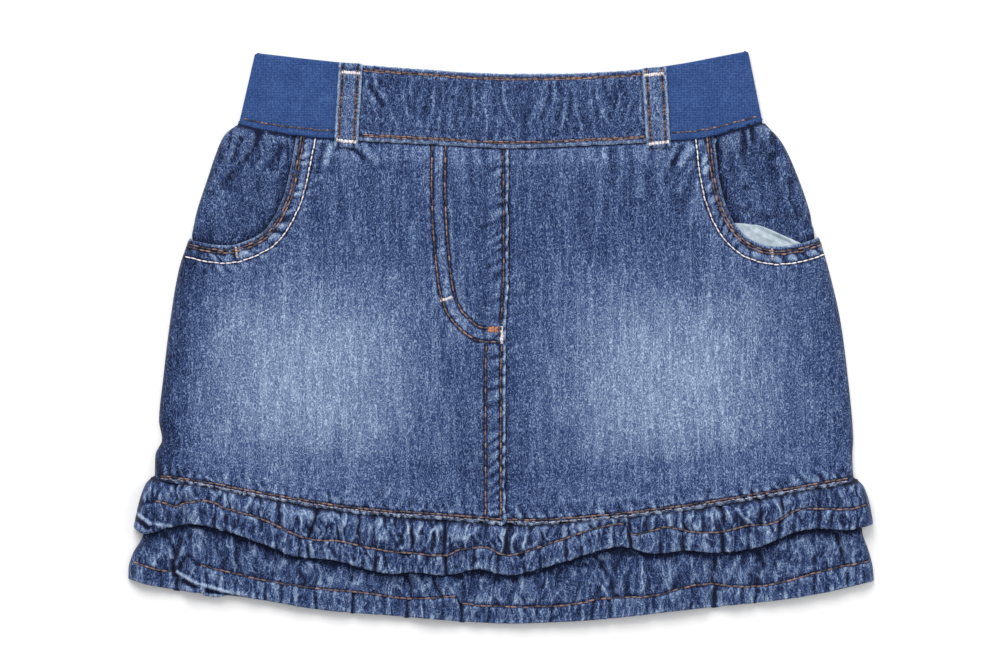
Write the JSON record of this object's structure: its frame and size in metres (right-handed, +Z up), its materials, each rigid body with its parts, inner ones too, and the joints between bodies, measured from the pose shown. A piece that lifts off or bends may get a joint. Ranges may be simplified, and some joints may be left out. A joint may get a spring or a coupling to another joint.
{
  "type": "a-line denim skirt, laid flat",
  "caption": "Child's a-line denim skirt laid flat, with an elastic waistband, curved pocket mouths, belt loops, a mock fly and a gathered, layered ruffle hem.",
  "frame": {"origin": "on the surface that the skirt lies on, under the middle of its bounding box", "axes": "+X to the right as seen from the front of the skirt, along its longest extent; +Y from the hem to the waistband; +Z up from the surface"},
  "size_m": [0.358, 0.2738, 0.0143],
  "materials": {
    "denim": "washed mid-blue cotton denim, faded in two patches on the front",
    "strap": "narrow folded denim strap, worn pale at its edges",
    "elastic": "bright blue knitted elastic, matt, with a fine grid",
    "lining": "pale blue plain cotton"
  },
  "bodies": {
    "root": {"back_panel": "denim", "front_left": "denim", "front_right": "denim", "pocket_piece_left": "denim", "pocket_piece_right": "denim", "pocket_lining_right": "lining", "waistband_front": "denim", "waistband_elastic": "elastic", "belt_loop_left": "strap", "belt_loop_right": "strap", "ruffle_upper_front": "denim", "ruffle_upper_back": "denim", "ruffle_lower_front": "denim", "ruffle_lower_back": "denim"}
  },
  "joints": []
}
